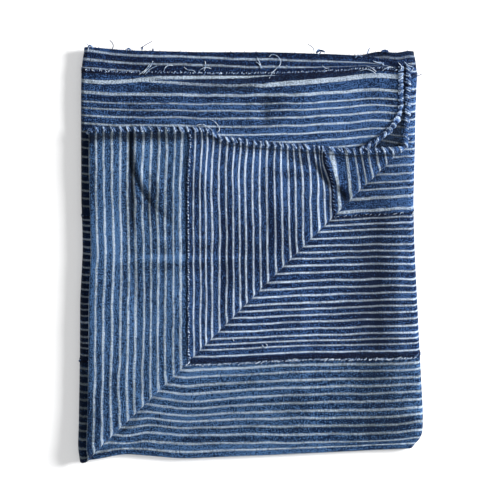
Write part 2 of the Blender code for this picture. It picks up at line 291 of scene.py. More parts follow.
def rumple(x, y):
    # small uneven swells of a hand-woven cloth that has lain folded: sines bent by slower sines
    bentX = x + 6.0 * np.sin(y / 27.0 + 0.4) + 2.5 * np.sin(y / 9.0 + x / 40.0)
    bentY = y + 5.0 * np.sin(x / 31.0 + 1.9) + 2.5 * np.sin(x / 11.0 - y / 35.0)
    return (0.34 * np.sin(bentX / 8.3) * np.sin(bentY / 9.1 + 0.7)
            + 0.20 * np.sin((bentX + bentY) / 4.7 + 1.1) * np.cos(bentY / 12.0)
            + 0.16 * np.sin((bentX - 1.4 * bentY) / 3.9))


def foldCloth(s, t, w):
    # the halving fold, the slanting fold, the two folds between leaves, then easing and creases
    up, h, upper = halve(s, t, w)
    share = up / f.halfWidth
    leafX = f.nearLineX - s
    low, high = (readTable(topEdges, k, leafX, 10.0) for k in (1, 2))
    topX, topY, topH, turned = turnCorner(leafX, low + (high - low) * share, h, upper)
    onTop = s < leftEnd
    topY = topY + readTable(topRise, 1, topX, 8.0) * upper * smooth(3.0, 21.0, t)
    inward = (topX - topY - f.cornerLine) / np.sqrt(2.0)
    clear = smooth(-2.0, -34.0, inward) * turned * smooth(3.0, 30.0, up)
    easeX, easeY = (bellSum(flapEase, topX, topY, column) for column in (4, 5))
    topX, topY = topX + easeX * clear, topY + easeY * clear
    run = np.where(onTop, f.nearLineX - topX, s)
    h = np.where(onTop, topH, h)
    left = np.clip((run - leftStart) / bendRun, 0.0, 1.0) * np.pi
    right = np.clip((run - rightStart) / bendRun, 0.0, 1.0) * np.pi
    flatX = np.where(run < leftStart, f.nearLineX - run, np.where(
        run < rightStart, f.leftBendX + np.maximum(run - leftEnd, 0.0),
        f.rightBendX - np.maximum(run - rightEnd, 0.0)))
    low, high = (readTable(lowerEdges, k, flatX, 10.0) for k in (1, 2))
    lowerY = low + (high - low) * share + readTable(backEdge, 1, flatX, 2.5) * smooth(0.86, 0.99, share)
    eased = bellSum(lowerEase, flatX, lowerY)
    lowerY = lowerY + eased * smooth(-165.0, -130.0, flatX) * smooth(0.0, 16.0, up)
    blend = smooth(0.0, np.pi, left)
    y = np.where(onTop, topY, lowerY) * (1.0 - blend) + lowerY * blend
    middle, top = heightMiddle(flatX, y), heightTop(flatX, y)
    leftRadius, rightRadius = (top - middle) / 2.0, (middle - bottomZ) / 2.0
    past = run > (leftEnd + rightStart) / 2.0
    x = np.where(past, flatX + (rightRadius - h) * np.sin(right), flatX - (leftRadius + h) * np.sin(left))
    z = np.where(past, bottomZ + rightRadius + (rightRadius - h) * np.cos(right),
                 middle + leftRadius + (leftRadius + h) * np.cos(left))
    leftShift = readTable(sideShift, 1, y, 5.0)
    rightShift = np.where(onTop, 0.0, readTable(sideShift, 2, y, 5.0))
    x = x + leftShift * smooth(-60.0, -165.0, x) + rightShift * smooth(60.0, 165.0, x)
    lift = (creaseHeight(x, y) + rumple(x, y)) * smooth(2.0, 14.0, z)
    return x - f.centreX, y - f.centreY, z + lift


# woven stripes of each kind of strip: mm from its marked edge to a stripe's middle, stripe's width
stripeCharts = dict(
    edge=((5.2, 2.0), (12.2, 1.8), (18.8, 1.2)),
    broad=((7.4, 4.6), (20.0, 2.7), (28.6, 1.6), (35.2, 1.6), (42.7, 1.8), (50.8, 1.9), (59.2, 1.7),
           (67.2, 1.8), (75.0, 1.7), (84.0, 1.9), (92.0, 1.7), (101.0, 1.9), (109.0, 1.8),
           (117.5, 1.8), (125.0, 1.8), (132.2, 1.9)),
    fine=((3.1, 1.6), (8.8, 1.8), (14.9, 1.8), (22.4, 1.8), (30.3, 1.9), (36.9, 1.7), (43.3, 1.7),
          (50.3, 1.8), (57.1, 1.7), (65.1, 1.9), (71.9, 1.7), (78.7, 1.7), (85.9, 1.8), (91.9, 1.7),
          (98.1, 1.6), (104.9, 1.8), (112.0, 1.8), (119.0, 1.8), (124.7, 1.6), (129.9, 1.5),
          (136.7, 1.6)),
    pale=((7.0, 2.5), (14.2, 1.9), (22.7, 2.3), (30.2, 2.3), (38.0, 2.1), (46.0, 2.2), (54.2, 2.3),
          (61.2, 2.2), (69.0, 2.2), (77.2, 2.3), (86.4, 2.3), (95.0, 2.2), (102.0, 1.6)),
)
broadStepIn = 2.2      # the lower broad strip is sewn this much nearer to its first stripe
broadFirstLess = 1.7   # and that stripe is this much narrower there


def stripeTable(kind, start, width):
    # stripes of one strip as t of the middle and width, mirrored where the strip is the other way
    chart = np.array(stripeCharts[kind])
    if kind == "pale":        # alike on both sides of the halving fold
        other = chart[:-1] * (-1, 1) + (width, 0)
        return np.concatenate([chart + (start, 0), other[::-1] + (start, 0)])
    if kind in ("fine", "edge") and start > f.halfWidth:
        return (chart * (-1, 1) + (start + width, 0))[::-1]
    if kind == "broad" and start > f.halfWidth:
        lower = chart + (start - broadStepIn, 0)
        lower[0, 1] -= broadFirstLess
        return lower
    return chart + (start, 0)


def stripRows(start, width):
    # t of the rows, close together at the strip's edges and over the halving fold
    low, high = start + clothSizes["seamGap"] / 2, start + width - clothSizes["seamGap"] / 2
    edge = np.array((0.0, 0.12, 0.4, 0.9, 1.6))
    steps = int(np.ceil((width - 2 * edge[-1]) / clothSizes["rowStep"]))
    inner = np.linspace(low + edge[-1], high - edge[-1], steps + 1)
    rows = np.concatenate([low + edge[:-1], inner, (high - edge[:-1])[::-1]])
    if low < f.halfWidth < high:
        bend = f.halfWidth + halfTurn * np.linspace(-0.15, 1.15, 15)
        rows = np.concatenate([rows[(rows < bend[0] - 0.5) | (rows > bend[-1] + 0.5)], bend])
    return np.sort(rows), low, high


def alongColumns():
    # distances from the near hem, close together round its roll and in the bends
    roll = hemSizes["centre"] * (1.0 - np.cos(np.linspace(0.0, np.pi, 13)))
    parts = [roll]
    for start, end, step in (
        (roll[-1], leftStart, clothSizes["topStep"]),
        (leftStart, leftEnd, clothSizes["bendStep"]),
        (leftEnd, rightStart, clothSizes["middleStep"]),
        (rightStart, rightEnd, clothSizes["bendStep"]),
        (rightEnd, clothEnd, clothSizes["bottomStep"]),
    ):
        parts.append(np.linspace(start, end, int(np.ceil((end - start) / step)) + 1)[1:])
    return np.concatenate(parts)


hemSizes = dict(
    centre=2.5,          # middle of the roll, from the cloth's end
    radius=2.25,
    groove=0.34,         # share of the radius that each whip stitch pulls in
    grooveReach=1.15,
    longestBump=9.5,     # a wider gap between stripes gets a stitch of its own
    navyRadius=0.5,
    blueRadius=0.9,
    paleRadius=1.05,
    slant=1.1,
    firstIn=2.5,         # no turn of thread is placed nearer to a selvedge
    leastIn=0.8,         # and none leans nearer than this
)


def hemStitches():
    # t of the whip stitches round the hem: between the stripes, where the pale warps stay proud
    middles = np.concatenate([stripeTable(kind, start, width)[:, 0] for _, _, kind, start, width in strips])
    middles = np.sort(np.concatenate([middles, [0.5, f.halfWidth * 2 + 3.2]]))
    wide = np.diff(middles) > hemSizes["longestBump"]
    middles = np.sort(np.concatenate([middles, (middles[:-1] + middles[1:])[wide] / 2]))
    return (middles[:-1] + middles[1:]) / 2


stitchPlaces = hemStitches()
stitchPlaces += 0.8 * np.sin(np.arange(len(stitchPlaces)) * 5.1) * np.sin(stitchPlaces * 0.31)
stitchPull = 0.85 + 0.35 * np.sin(np.arange(len(stitchPlaces)) * 2.7 + 0.5)


def grooveAt(t):
    # about one at a whip stitch, by how hard it is pulled, falling away as a bell on both sides
    after = np.clip(np.searchsorted(stitchPlaces, t), 1, len(stitchPlaces) - 1)
    both = np.stack([after - 1, after])
    fall = np.exp(-(((t - stitchPlaces[both]) / hemSizes["grooveReach"]) ** 2))
    return np.max(stitchPull[both] * fall, axis=0)


def clothHalf(s, t, side, low, high):
    # half thickness: round edges, a ridge at each seam and a grooved roll at the near hem
    edge = np.minimum(t - low, high - t)
    across = np.sqrt(np.clip(1 - (1 - np.clip(edge / clothSizes["edgeRound"], 0, 1)) ** 2, 0, 1))
    plain = clothSizes["halfThick"] * (0.12 + 0.88 * across)
    ridge = clothSizes["seamRidge"] * np.exp(-((edge / clothSizes["ridgeReach"]) ** 2)) * across
    plain = plain + (side > 0) * ridge * smooth(rightEnd + 20.0, rightStart, s)
    u = s - nearHem(t)
    away = np.clip((u - hemSizes["centre"]) / hemSizes["centre"], -1, 1)
    uneven = 0.12 * np.sin(t * 0.9) * np.sin(t * 0.23)
    size = hemSizes["radius"] * (1.0 - hemSizes["groove"] * grooveAt(t)) + uneven
    roll = size * np.sqrt(np.clip(1 - away ** 2, 0.0004, 1)) * (0.35 + 0.65 * across)
    return np.where(u < 2 * hemSizes["centre"], np.maximum(roll, plain * smooth(2.0, 4.5, u)), plain)


def addPiece(name, mesh, material):
    # a new object at the origin
    mesh.materials.append(material)
    piece = bpy.data.objects.new(name, mesh)
    bpy.context.scene.collection.objects.link(piece)
    return piece


def addMesh(name, verts, faces, material, uv=None, values=None):
    # puts whole arrays into a new mesh object at the origin
    mesh = bpy.data.meshes.new(name)
    faces = np.asarray(faces, np.int32)
    mesh.vertices.add(len(verts))
    mesh.vertices.foreach_set("co", (np.asarray(verts) * mm).ravel())
    mesh.loops.add(faces.size)
    mesh.loops.foreach_set("vertex_index", faces.ravel())
    mesh.polygons.add(len(faces))
    mesh.polygons.foreach_set("loop_start", np.arange(len(faces), dtype=np.int32) * faces.shape[1])
    mesh.polygons.foreach_set("use_smooth", np.ones(len(faces), bool))
    mesh.update(calc_edges=True)
    if uv is not None:
        layer = mesh.uv_layers.new(name="clothPlace")
        layer.data.foreach_set("uv", (uv[faces.ravel()] * mm).ravel())
    for key, value in (values or {}).items():
        mesh.attributes.new(key, "FLOAT", "POINT").data.foreach_set("value", np.asarray(value, np.float32))
    mesh.validate()
    return addPiece(name, mesh, material)


class Value:
    # a number flowing through a material, so that sums are written as Python expressions
    def __init__(self, paint, socket):
        self.paint = paint
        self.socket = socket

    def __add__(self, other):
        return self.paint.maths("ADD", self, other)

    __radd__ = __add__

    def __sub__(self, other):
        return self.paint.maths("SUBTRACT", self, other)

    def __rsub__(self, other):
        return self.paint.maths("SUBTRACT", other, self)

    def __mul__(self, other):
        return self.paint.maths("MULTIPLY", self, other)

    __rmul__ = __mul__

    def __abs__(self):
        return self.paint.maths("ABSOLUTE", self)


class Paint:
    # one material and the ways of adding to it
    def __init__(self, name):
        self.material = bpy.data.materials.new(name)
        self.material.use_nodes = True
        self.tree = self.material.node_tree
        self.shader = self.tree.nodes["Principled BSDF"]

    def node(self, kind, settings=None, sockets=None, output=0):
        made = self.tree.nodes.new(kind)
        for key, setting in (settings or {}).items():
            setattr(made, key, setting)
        for key, given in (sockets or {}).items():
            if isinstance(given, Value):
                self.tree.links.new(given.socket, made.inputs[key])
            else:
                made.inputs[key].default_value = given
        return Value(self, made.outputs[output])

    def maths(self, operation, *terms):
        return self.node("ShaderNodeMath", {"operation": operation}, dict(enumerate(terms)))

    def step(self, value, start, end):
        return self.node("ShaderNodeMapRange", {"interpolation_type": "SMOOTHSTEP"},
                         {"Value": value, "From Min": start, "From Max": end})

    def mix(self, factor, first, second):
        return self.node("ShaderNodeMix", {"data_type": "RGBA"}, {0: factor, 6: first, 7: second}, 2)

    def noise(self, place, scale, detail=2.0, roughness=0.5):
        stretched = self.node("ShaderNodeVectorMath", {"operation": "MULTIPLY"}, {0: place, 1: scale})
        return self.node("ShaderNodeTexNoise", None, {
            "Vector": stretched, "Scale": 1.0, "Detail": detail, "Roughness": roughness}, "Fac")

    def attribute(self, name):
        return self.node("ShaderNodeAttribute", {"attribute_name": name}, None, "Fac")

    def surface(self, colour, roughness, height=None, distance=0.0002, strength=0.6):
        shader = self.shader
        for key, given in (("Base Color", colour), ("Roughness", roughness)):
            if isinstance(given, Value):
                self.tree.links.new(given.socket, shader.inputs[key])
            else:
                shader.inputs[key].default_value = given
        if height is not None:
            bump = self.node("ShaderNodeBump", None, {
                "Height": height, "Distance": distance, "Strength": strength}, "Normal")
            self.tree.links.new(bump.socket, shader.inputs["Normal"])
        shader.inputs["Specular IOR Level"].default_value = 0.12
        shader.inputs["Sheen Weight"].default_value = 0.03
        shader.inputs["Sheen Roughness"].default_value = 0.5
        return self.material


# dyes: deep and worn ground, dull and bright of the undyed warp, how ragged its stripes are
dyes = dict(
    edge=dict(deep=(0.0010, 0.005, 0.024), worn=(0.024, 0.064, 0.180),
              dull=(0.20, 0.24, 0.29), bright=(0.42, 0.52, 0.67), ragged=0.8),
    broad=dict(deep=(0.0015, 0.009, 0.036), worn=(0.048, 0.114, 0.275),
               dull=(0.25, 0.30, 0.33), bright=(0.47, 0.57, 0.71), ragged=0.7),
    fine=dict(deep=(0.0010, 0.007, 0.032), worn=(0.038, 0.094, 0.240),
              dull=(0.30, 0.36, 0.43), bright=(0.57, 0.68, 0.85), ragged=0.55),
    pale=dict(deep=(0.0018, 0.011, 0.040), worn=(0.058, 0.136, 0.290),
              dull=(0.20, 0.25, 0.28), bright=(0.44, 0.54, 0.68), ragged=1.2),
)
seamNavy = (0.002, 0.005, 0.022)
# near-black that painted shade mixes towards
paintedShadeDark = (0.0035, 0.0065, 0.0115)


def clothMaterial(kind):
    # woven cloth: stripes by distance from the nearest stripe's middle, over a mottled ground
    paint = Paint("cloth_" + kind)
    dye = {key: (*colour, 1.0) for key, colour in dyes[kind].items() if key != "ragged"}
    ragged = dyes[kind]["ragged"]
    place = paint.node("ShaderNodeUVMap", {"uv_map": "clothPlace"})
    mottle = paint.noise(place, (380.0, 620.0, 1.0), 2.0, 0.8)
    slub = paint.noise(place, (110.0, 720.0, 1.0), 1.0, 0.5)
    weft = paint.noise(place, (640.0, 210.0, 1.0), 1.0, 0.5)
    fleck = paint.noise(place, (760.0, 860.0, 1.0), 0.0, 0.5)
    cloud = paint.noise(place, (22.0, 34.0, 1.0), 3.0, 0.6)
    sway = paint.noise(place, (34.0, 50.0, 1.0), 2.0, 0.5)
    warp = paint.noise(place, (5.0, 105.0, 1.0), 1.0, 0.5)
    # worn dye and painted light and shade, as the mesh gives them
    wearAndShade = paint.attribute("wearAndShade")
    phase = paint.attribute("stripePhase") + (sway - 0.5) * 0.34
    near = abs(paint.maths("FRACT", phase + 0.5) - 0.5) * paint.attribute("stripePitch")
    near = near + (fleck - 0.5) * 1.6 * ragged + (mottle - 0.5) * 2.0 * ragged
    stripe = 1.0 - paint.step(near - paint.attribute("stripeHalf"), -0.45, 0.45)
    pleat = paint.step(paint.attribute("pleatCream") + (mottle - 0.5) * 1.6, -0.35, 0.35)
    stripe = paint.maths("MAXIMUM", stripe, pleat)
    slow = (cloud - 0.5) * 0.13 + (warp - 0.5) * 0.20
    tone = mottle * 0.22 + slub * 0.22 + weft * 0.20 + fleck * 0.36 + slow + wearAndShade * 0.028
    worn = paint.step(tone, 0.44, 0.575)
    ground = paint.mix(worn, dye["deep"], dye["worn"])
    band = paint.attribute("seamBand")
    ground = paint.mix(band * (1.0 - worn * 0.30), ground, (*seamNavy, 1.0))
    grain = mottle * 0.30 + slub * 0.20 + weft * 0.20 + fleck * 0.30 + slow + wearAndShade * 0.03
    clean = paint.step(grain, 0.36, 0.58)
    white = paint.mix(clean, dye["dull"], dye["bright"])
    faded = 0.80 + paint.step(sway * 0.5 + cloud * 0.5, 0.36, 0.54) * 0.20
    kept = (0.70 + clean * 0.30) * faded * (1.0 - paint.attribute("stripeSoft"))
    colour = paint.mix(stripe * kept, ground, white)
    # painted shade: the colour mixed towards near-black by the shade attribute
    colour = paint.mix(paint.attribute("shade"), colour, (*paintedShadeDark, 1.0))
    relief = mottle * 0.9 + slub * 0.5 + weft * 0.5 + fleck * 0.7 + stripe * 0.35
    return paint.surface(colour, 0.88, relief, 0.0009, 0.9)


def threadMaterial(name, dark, light, scale=700.0):
    # spun thread: a slow change of dye along it and fine flecks
    paint = Paint(name)
    place = paint.node("ShaderNodeTexCoord", None, None, "Object")
    fleck = paint.noise(place, (scale, scale, scale), 2.0, 0.6)
    slow = paint.noise(place, (scale * 0.4, scale * 0.4, scale * 0.4), 1.0, 0.5)
    colour = paint.mix(paint.step(fleck * 0.6 + slow * 0.4, 0.40, 0.60), (*dark, 1.0), (*light, 1.0))
    return paint.surface(colour, 0.85, fleck, 0.0001, 0.6)


# pale bands of the pleat below the upper seam: x, middle of the upper band, its half width,
# middle of the lower band, its half width, all from the seam in mm
pleatBands = np.array((
    (-175, 8.8, 1.9, 8.8, 0.0), (-150, 9.0, 1.9, 9.0, 0.0), (-120, 6.4, 1.8, 7.4, 0.6),
    (-104, 4.4, 1.7, 6.2, 1.2), (-90, 3.2, 1.6, 7.2, 1.2), (-50, 1.9, 1.6, 9.0, 1.2),
    (-20, 1.4, 1.5, 10.0, 1.2), (0, 0.9, 1.3, 9.3, 1.2), (12, 0.5, 0.9, 10.4, 1.7),
    (24, 0.2, 0.3, 9.4, 2.2), (36, 0.0, -1.0, 8.6, 2.4), (50, 0.0, -1.0, 7.8, 2.4),
    (90, 0.0, -1.0, 6.6, 2.3), (120, 0.0, -1.0, 5.6, 2.2), (175, 0.0, -1.0, 4.2, 2.1),
), float)

# how far the upper edge strip's stripes drift towards the seam: x, drift
edgeDrift = np.array((
    (-170, -1.2), (-140, -0.8), (-100, 0), (-50, 0), (0, 1.8), (50, 2.4), (90, 3.0), (175, 4.0),
), float)

# dark dye along the seams, on the upper leaf and on the others: t of the seam, mm before it, past it
seamBands = dict(
    upper=((22, 4.5, 0.8), (165, 1.0, 1.0), (308, 1.0, 1.0), (512, 1.0, 0.1), (655, 1.2, 0.8),
           (798, 2.0, 1.0)),
    lower=((22, 3.0, 3.0), (165, 1.5, 1.5), (308, 1.5, 1.5), (512, 1.8, 4.6), (655, 0.8, 0.8),
           (798, 2.0, 1.5)),
)

# painted shade in the sharpest creases, beside the folds, the flap and its hem, and over broad areas of the
# leaves below: x, y, x, y, half width, depth of shade
shadeLines = dict(
    upper=(
        (-121, 121, -119, 84, 2.0, 0.95), (-119, 86, -118.5, 30, 1.7, 0.9), (-118.5, 30, -118, -5, 1.6, 0.45),
        (-119, 86, -109, 60, 1.5, 0.85), (-109, 60, -100, 47, 2.4, 0.75), (-100, 47, -80, 30, 2.4, 0.3),
        (-106, 64, -100, 54, 2.6, 0.6), (-66, 118, -64.5, 60, 1.0, 0.8), (-64.5, 60, -62, -100, 0.9, 0.45),
        (47, 87, 65, 85, 2.6, 0.55), (65, 85, 79, 63, 2.6, 0.8), (79, 63, 88, 60, 2.4, 0.5),
        (88, 64, 96, 48, 3.0, 0.8),
        (-105, 161, 4, 161.5, 3.4, 0.72), (14, 155, 17, 122, 6.0, 0.55), (8, 153, 18, 153, 1.6, 0.6),
        (12, 171, 55, 173, 1.8, 0.45), (-168, 120, -168, -190, 4.5, 0.5), (120, 122, 146, 140, 5.0, 0.25),
        (-118, -150, -106, -200, 2.4, 0.3), (-70, 202, 150, 192, 3.0, 0.35),
        (-118, -5, -111, -46, 2.2, 0.36), (147, 186, 149, 136, 7.0, 0.36), (-112, 74, -98, 38, 7.0, 0.3),
        (-117.5, 98, -115, 62, 2.8, 0.6), (36, 96, 64, 86, 4.5, 0.42), (13, 70, 14, 45, 3.0, 0.25),
    ),
    middle=(
        (150, 100, 95, 45, 2.2, 0.35), (95, 45, -58, -112, 2.0, 0.35), (-58, -112, -150, -205, 2.0, 0.45),
        (95, 200, 172, 199, 8.0, 0.72), (-168, 200, -168, -190, 4.5, 0.5),
        (-132, -156, -106, -202, 2.6, 0.4), (128, 110, 130, -190, 42.0, 0.38),
        (60, -160, -120, -180, 50.0, 0.24),
    ),
    bottom=((95, 200, 172, 199, 9.0, 0.70),),
)

# painted shade on the flap beside its hem: depth, mm from the cloth's end, half width, for each part of the
# hem; painted shade over the flap's inner side, and the least painted shade on the whole top leaf
hemShades = dict(soft=(0.70, 9.5, 5.0), thin=(0.95, 7.2, 2.2), softUntil=530, innerSide=0.85, leastOnTop=0.12)

# where the undyed stripes are duller, in part as painted shade along the back leaf's top edge: x, y, reach in
# x, reach in y, share lost
softPatches = np.array((
    (-110, 138, 62, 22, 0.30), (164, 60, 12, 70, 0.35), (150, 197, 40, 10, 0.50), (120, 95, 40, 40, 0.14),
    (-20, 146, 50, 14, 0.22), (-60, -160, 90, 40, 0.08),
), float)


def shadeAt(lines, x, y):
    # the deepest of the lines' bells
    return np.max([lineBell(line, x, y, 3.5, 2.5) for line in lines], axis=0)


def seamBandAt(rows, t):
    # one in the dark band at a seam, nought beyond it
    return np.max([smooth(-before - 0.9, -before + 0.5, t - seam) * smooth(past + 0.9, past - 0.5, t - seam)
                   for seam, before, past in rows], axis=0)


def clothValues(kind, start, width, s, t, side, x, y):
    # what the cloth's material reads at each point: whole numbers of phase at the stripes' middles
    table = stripeTable(kind, start, width)
    middles, widths = table[:, 0], table[:, 1]
    pitch = np.diff(middles)
    last, beyond = len(middles) - 1, 40.0      # the outer stripes' pitch runs on this far
    ends = np.concatenate([[middles[0] - beyond], middles, [middles[-1] + beyond]])
    count = np.concatenate([[-beyond / pitch[0]], np.arange(last + 1), [last + beyond / pitch[-1]]])
    top = s < (leftStart + leftEnd) / 2
    place = f.nearLineX - s
    upperEdge = kind == "edge" and start < f.halfWidth
    drifted = t - top * readTable(edgeDrift, 1, place) if upperEdge else t
    phase = np.clip(np.interp(drifted, ends, count), -0.5, last + 0.5)
    slots = np.clip(np.round(phase), 0, last).astype(int)
    half = widths[slots] / 2
    u = s - nearHem(t)
    onRoll = smooth(5.6, 4.4, u)
    band = np.where(top, seamBandAt(seamBands["upper"], t), seamBandAt(seamBands["lower"], t))
    cream = np.full_like(s, -9.0)
    if upperEdge:             # its third stripe runs out, and its second thins, along the upper leaf
        half = np.where(top & (slots == 2), half - 3.0 * smooth(-112.0, -104.0, place), half)
        half = np.where(top & (slots == 1), half - 0.7 * smooth(40.0, 90.0, place), half)
    if kind == "broad" and start < f.halfWidth:
        upper = readTable(pleatBands, 2, place) - np.abs(t - start - readTable(pleatBands, 1, place))
        lower = readTable(pleatBands, 4, place) - np.abs(t - start - readTable(pleatBands, 3, place))
        cream = np.where(top, np.maximum(upper, lower), cream)
        half = np.where(top & (slots == 0), -9.0, half)
        tuck = smooth(8.2, 6.4, t - start) * smooth(-80.0, -60.0, place) * smooth(140.0, 90.0, place)
        band = np.where(top, np.maximum(band, tuck), band)
    shades = {leaf: shadeAt(lines, x, y) for leaf, lines in shadeLines.items()}
    shade = np.where(s < rightStart, shades["middle"], shades["bottom"])
    shade = np.where(top, np.maximum(shades["upper"], hemShades["leastOnTop"]), shade)
    flap = top & (t > f.halfWidth)
    soft, thin = (depth * np.exp(-(((u - middle) / reach) ** 2))
                  for depth, middle, reach in (hemShades["soft"], hemShades["thin"]))
    underHem = np.where(t < hemShades["softUntil"], soft, thin)
    # painted shade beside the flap's hem and over its inner side, taken off the roll
    shade = np.maximum(shade, underHem * flap * smooth(4.6, 6.0, u))
    shade = np.maximum(shade, hemShades["innerSide"] * (flap & (side < 0))) * (1 - onRoll)
    # wear and painted light and shade, darker beside the hem, and an uneven tone on the roll
    wearAndShade = wearAndShadeAt(x, y, s) - 1.5 * np.exp(-(((u - 10.5) / 5.0) ** 2))
    wearAndShade = wearAndShade + onRoll * (0.5 + 1.5 * np.sin(t * 0.7) * np.sin(t * 0.19))
    return dict(
        stripePhase=phase,
        stripePitch=np.interp(t, (middles[1:] + middles[:-1]) / 2, pitch),
        stripeHalf=half - onRoll * 0.2,
        seamBand=np.maximum(band * (1 - onRoll * 0.6), onRoll * smooth(0.25, 0.8, grooveAt(t))),
        pleatCream=cream,
        wearAndShade=wearAndShade,
        shade=shade * 0.92,
        stripeSoft=np.clip(bellSum(softPatches, x, y), 0.0, 0.8),
    )


# paler (plus) or deeper (minus) ground, as worn dye and as painted light and shade: x, y, reach in x, reach
# in y, amount
wearAndShadePatches = np.array((
    (130, -40, 50, 95, -2.6), (126, -40, 9, 80, -2.4), (150, -40, 6, 90, 1.4), (20, -70, 60, 60, -0.8),
    (-100, -100, 50, 80, 0.6), (0, 80, 70, 32, 0.6), (0, 10, 60, 30, -2.0), (100, 150, 55, 26, 1.0),
    (100, -160, 80, 40, -1.2), (0, 190, 180, 12, -1.4),
    (-120, 168, 60, 20, -1.6), (45, 76, 28, 6, -3.5), (-119, 60, 4, 70, -3.2), (-100, 45, 10, 14, -2.6),
    (-95, 90, 16, 24, 0.9), (96, 56, 6, 8, -3.5), (-45, -8, 70, 3, 1.6),
    (-45, 12, 60, 3, 1.2), (120, -180, 60, 14, -1.6), (55, -90, 4, 90, 0.9), (30, 100, 60, 16, 0.8),
    (-130, 20, 20, 60, 0.6), (-20, 150, 60, 8, -0.9), (28, 145, 22, 14, -2.0), (145, 75, 26, 40, 1.0),
    (-110, 116, 50, 6, -2.2), (-88, -8, 28, 3.2, 3.0), (-70, -17, 60, 5, -1.6), (-112, -20, 7, 36, -1.4),
    (32, 68, 9, 24, 2.4), (13, 55, 7, 18, -2.2), (-43, 85, 10, 12, 1.8), (-55, 60, 10, 10, -1.4),
    (55, 92, 16, 8, -2.6), (52, 79, 8, 1.8, 2.6), (-15, -30, 20, 8, -1.0), (-40, 30, 10, 14, 1.2),
), float)


def wearAndShadeAt(x, y, s):
    # round patches of wear and of painted light and shade, painted shade along the left-hand fold's margin,
    # painted light along the right-hand fold
    total = bellSum(wearAndShadePatches, x, y)
    total = total - 3.5 * np.exp(-(((s - leftStart) / 9.0) ** 2)) * smooth(135.0, 110.0, y)
    return total + 0.8 * np.exp(-(((s - rightStart + 4.0) / 6.0) ** 2))


def sheetMesh(name, kind, start, width, material):
    # grid of columns along the strip and a closed loop of rows round its thickness
    rows, low, high = stripRows(start, width)
    columns = alongColumns()
    t = np.concatenate([rows, rows[::-1]])[None, :]
    side = np.concatenate([np.ones(len(rows)), -np.ones(len(rows))])[None, :]
    c = columns[:, None]
    s = c + nearHem(t) * smooth(130.0, 6.0, c)
    t, side = np.broadcast_to(t, s.shape), np.broadcast_to(side, s.shape)
    x, y, z = foldCloth(s, t, side * clothHalf(s, t, side, low, high))
    verts = np.stack([x, y, z], axis=-1).reshape(-1, 3)
    index = np.arange(s.size).reshape(s.shape)
    a, b = index[:-1], index[1:]
    wrap = np.stack([a, b, np.roll(b, -1, 1), np.roll(a, -1, 1)], axis=-1).reshape(-1, 4)
    i, last = np.arange(len(rows) - 1), 2 * len(rows) - 1
    caps = []
    for line, turn in ((index[0], 1), (index[-1], -1)):
        cap = np.stack([line[i], line[i + 1], line[last - 1 - i], line[last - i]], axis=-1)
        caps.append(cap[:, ::turn])
    values = clothValues(kind, start, width, s.ravel(), t.ravel(), side.ravel(),
                         verts[:, 0] + f.centreX, verts[:, 1] + f.centreY)
    uv = np.stack([s.ravel(), t.ravel()], axis=-1)
    return addMesh(name, verts, np.concatenate([wrap, *caps]), material, uv, values), verts


materials = {kind: clothMaterial(kind) for kind in stripeCharts}
surfacePoints = []
for name, node, kind, start, width in strips:
    sheet, verts = sheetMesh(name, kind, start, width, materials[kind])
    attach(sheet, "root")
    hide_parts(node)
    clothEnd * mm
    surfacePoints.append(verts)
    print("strip", name, len(sheet.data.polygons), "faces")


def everywhere(direction, paths):
    # one direction, given to every point of the paths
    return np.broadcast_to(np.array(direction, float), paths.shape)


def tubeMesh(paths, side, up, radius, sides):
    # round tubes along many paths at once, each ending in points: paths, side and up are tubes x points x 3
    angle = np.linspace(0.0, 2 * np.pi, sides, endpoint=False)[:, None]
    size = np.broadcast_to(radius, paths.shape[:2])[..., None, None]
    ring = paths[:, :, None] + size * (np.cos(angle) * side[:, :, None] + np.sin(angle) * up[:, :, None])
    tubes, points = paths.shape[:2]
    index = np.arange(tubes * points * sides).reshape(tubes, points, sides)
    a, b = index[:, :-1], index[:, 1:]
    walls = np.stack([a, b, np.roll(b, -1, 2), np.roll(a, -1, 2)], axis=-1).reshape(-1, 4)
    ends = ((0, 1), (-1, -2))
    tips = np.concatenate([paths[:, end] * 1.15 - paths[:, before] * 0.15 for end, before in ends])
    fans = []
    for k, (ringIndex, turn) in enumerate(((index[:, 0], -1), (index[:, -1], 1))):
        tip = (index.size + k * tubes + np.arange(tubes))[:, None]
        fan = np.stack(np.broadcast_arrays(ringIndex, np.roll(ringIndex, -1, 1), tip), axis=-1)
        fans.append(fan.reshape(-1, 3)[:, ::turn])
    return np.concatenate([ring.reshape(-1, 3), tips]), walls, np.concatenate(fans)


def addTubes(name, parts, material, flat=True):
    # several sets of tubes in one mesh, folded first where they are drawn on the spread cloth
    verts, faces, count = [], [], 0
    for points, walls, fans in parts:
        folded = np.stack(foldCloth(*points.T), axis=-1) if flat else points
        verts.append(np.maximum(folded, (-np.inf, -np.inf, 0.05)))
        faces += (walls + count).tolist() + (fans + count).tolist()
        count += len(points)
    mesh = bpy.data.meshes.new(name)
    mesh.from_pydata((np.concatenate(verts) * mm).tolist(), [], faces)
    mesh.polygons.foreach_set("use_smooth", np.ones(len(mesh.polygons), bool))
    mesh.update()
    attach(addPiece(name, mesh, material), "root")
    print(name, len(mesh.polygons), "faces")


threadDyes = dict(
    pale=((0.16, 0.24, 0.38), (0.64, 0.73, 0.84)),
    hem=((0.030, 0.068, 0.16), (0.41, 0.51, 0.66)),
    blue=((0.020, 0.045, 0.120), (0.22, 0.33, 0.55)),
    navy=((0.003, 0.009, 0.032), (0.04, 0.08, 0.19)),
)
threads = {name: threadMaterial("thread_" + name, dark, light) for name, (dark, light) in threadDyes.items()}

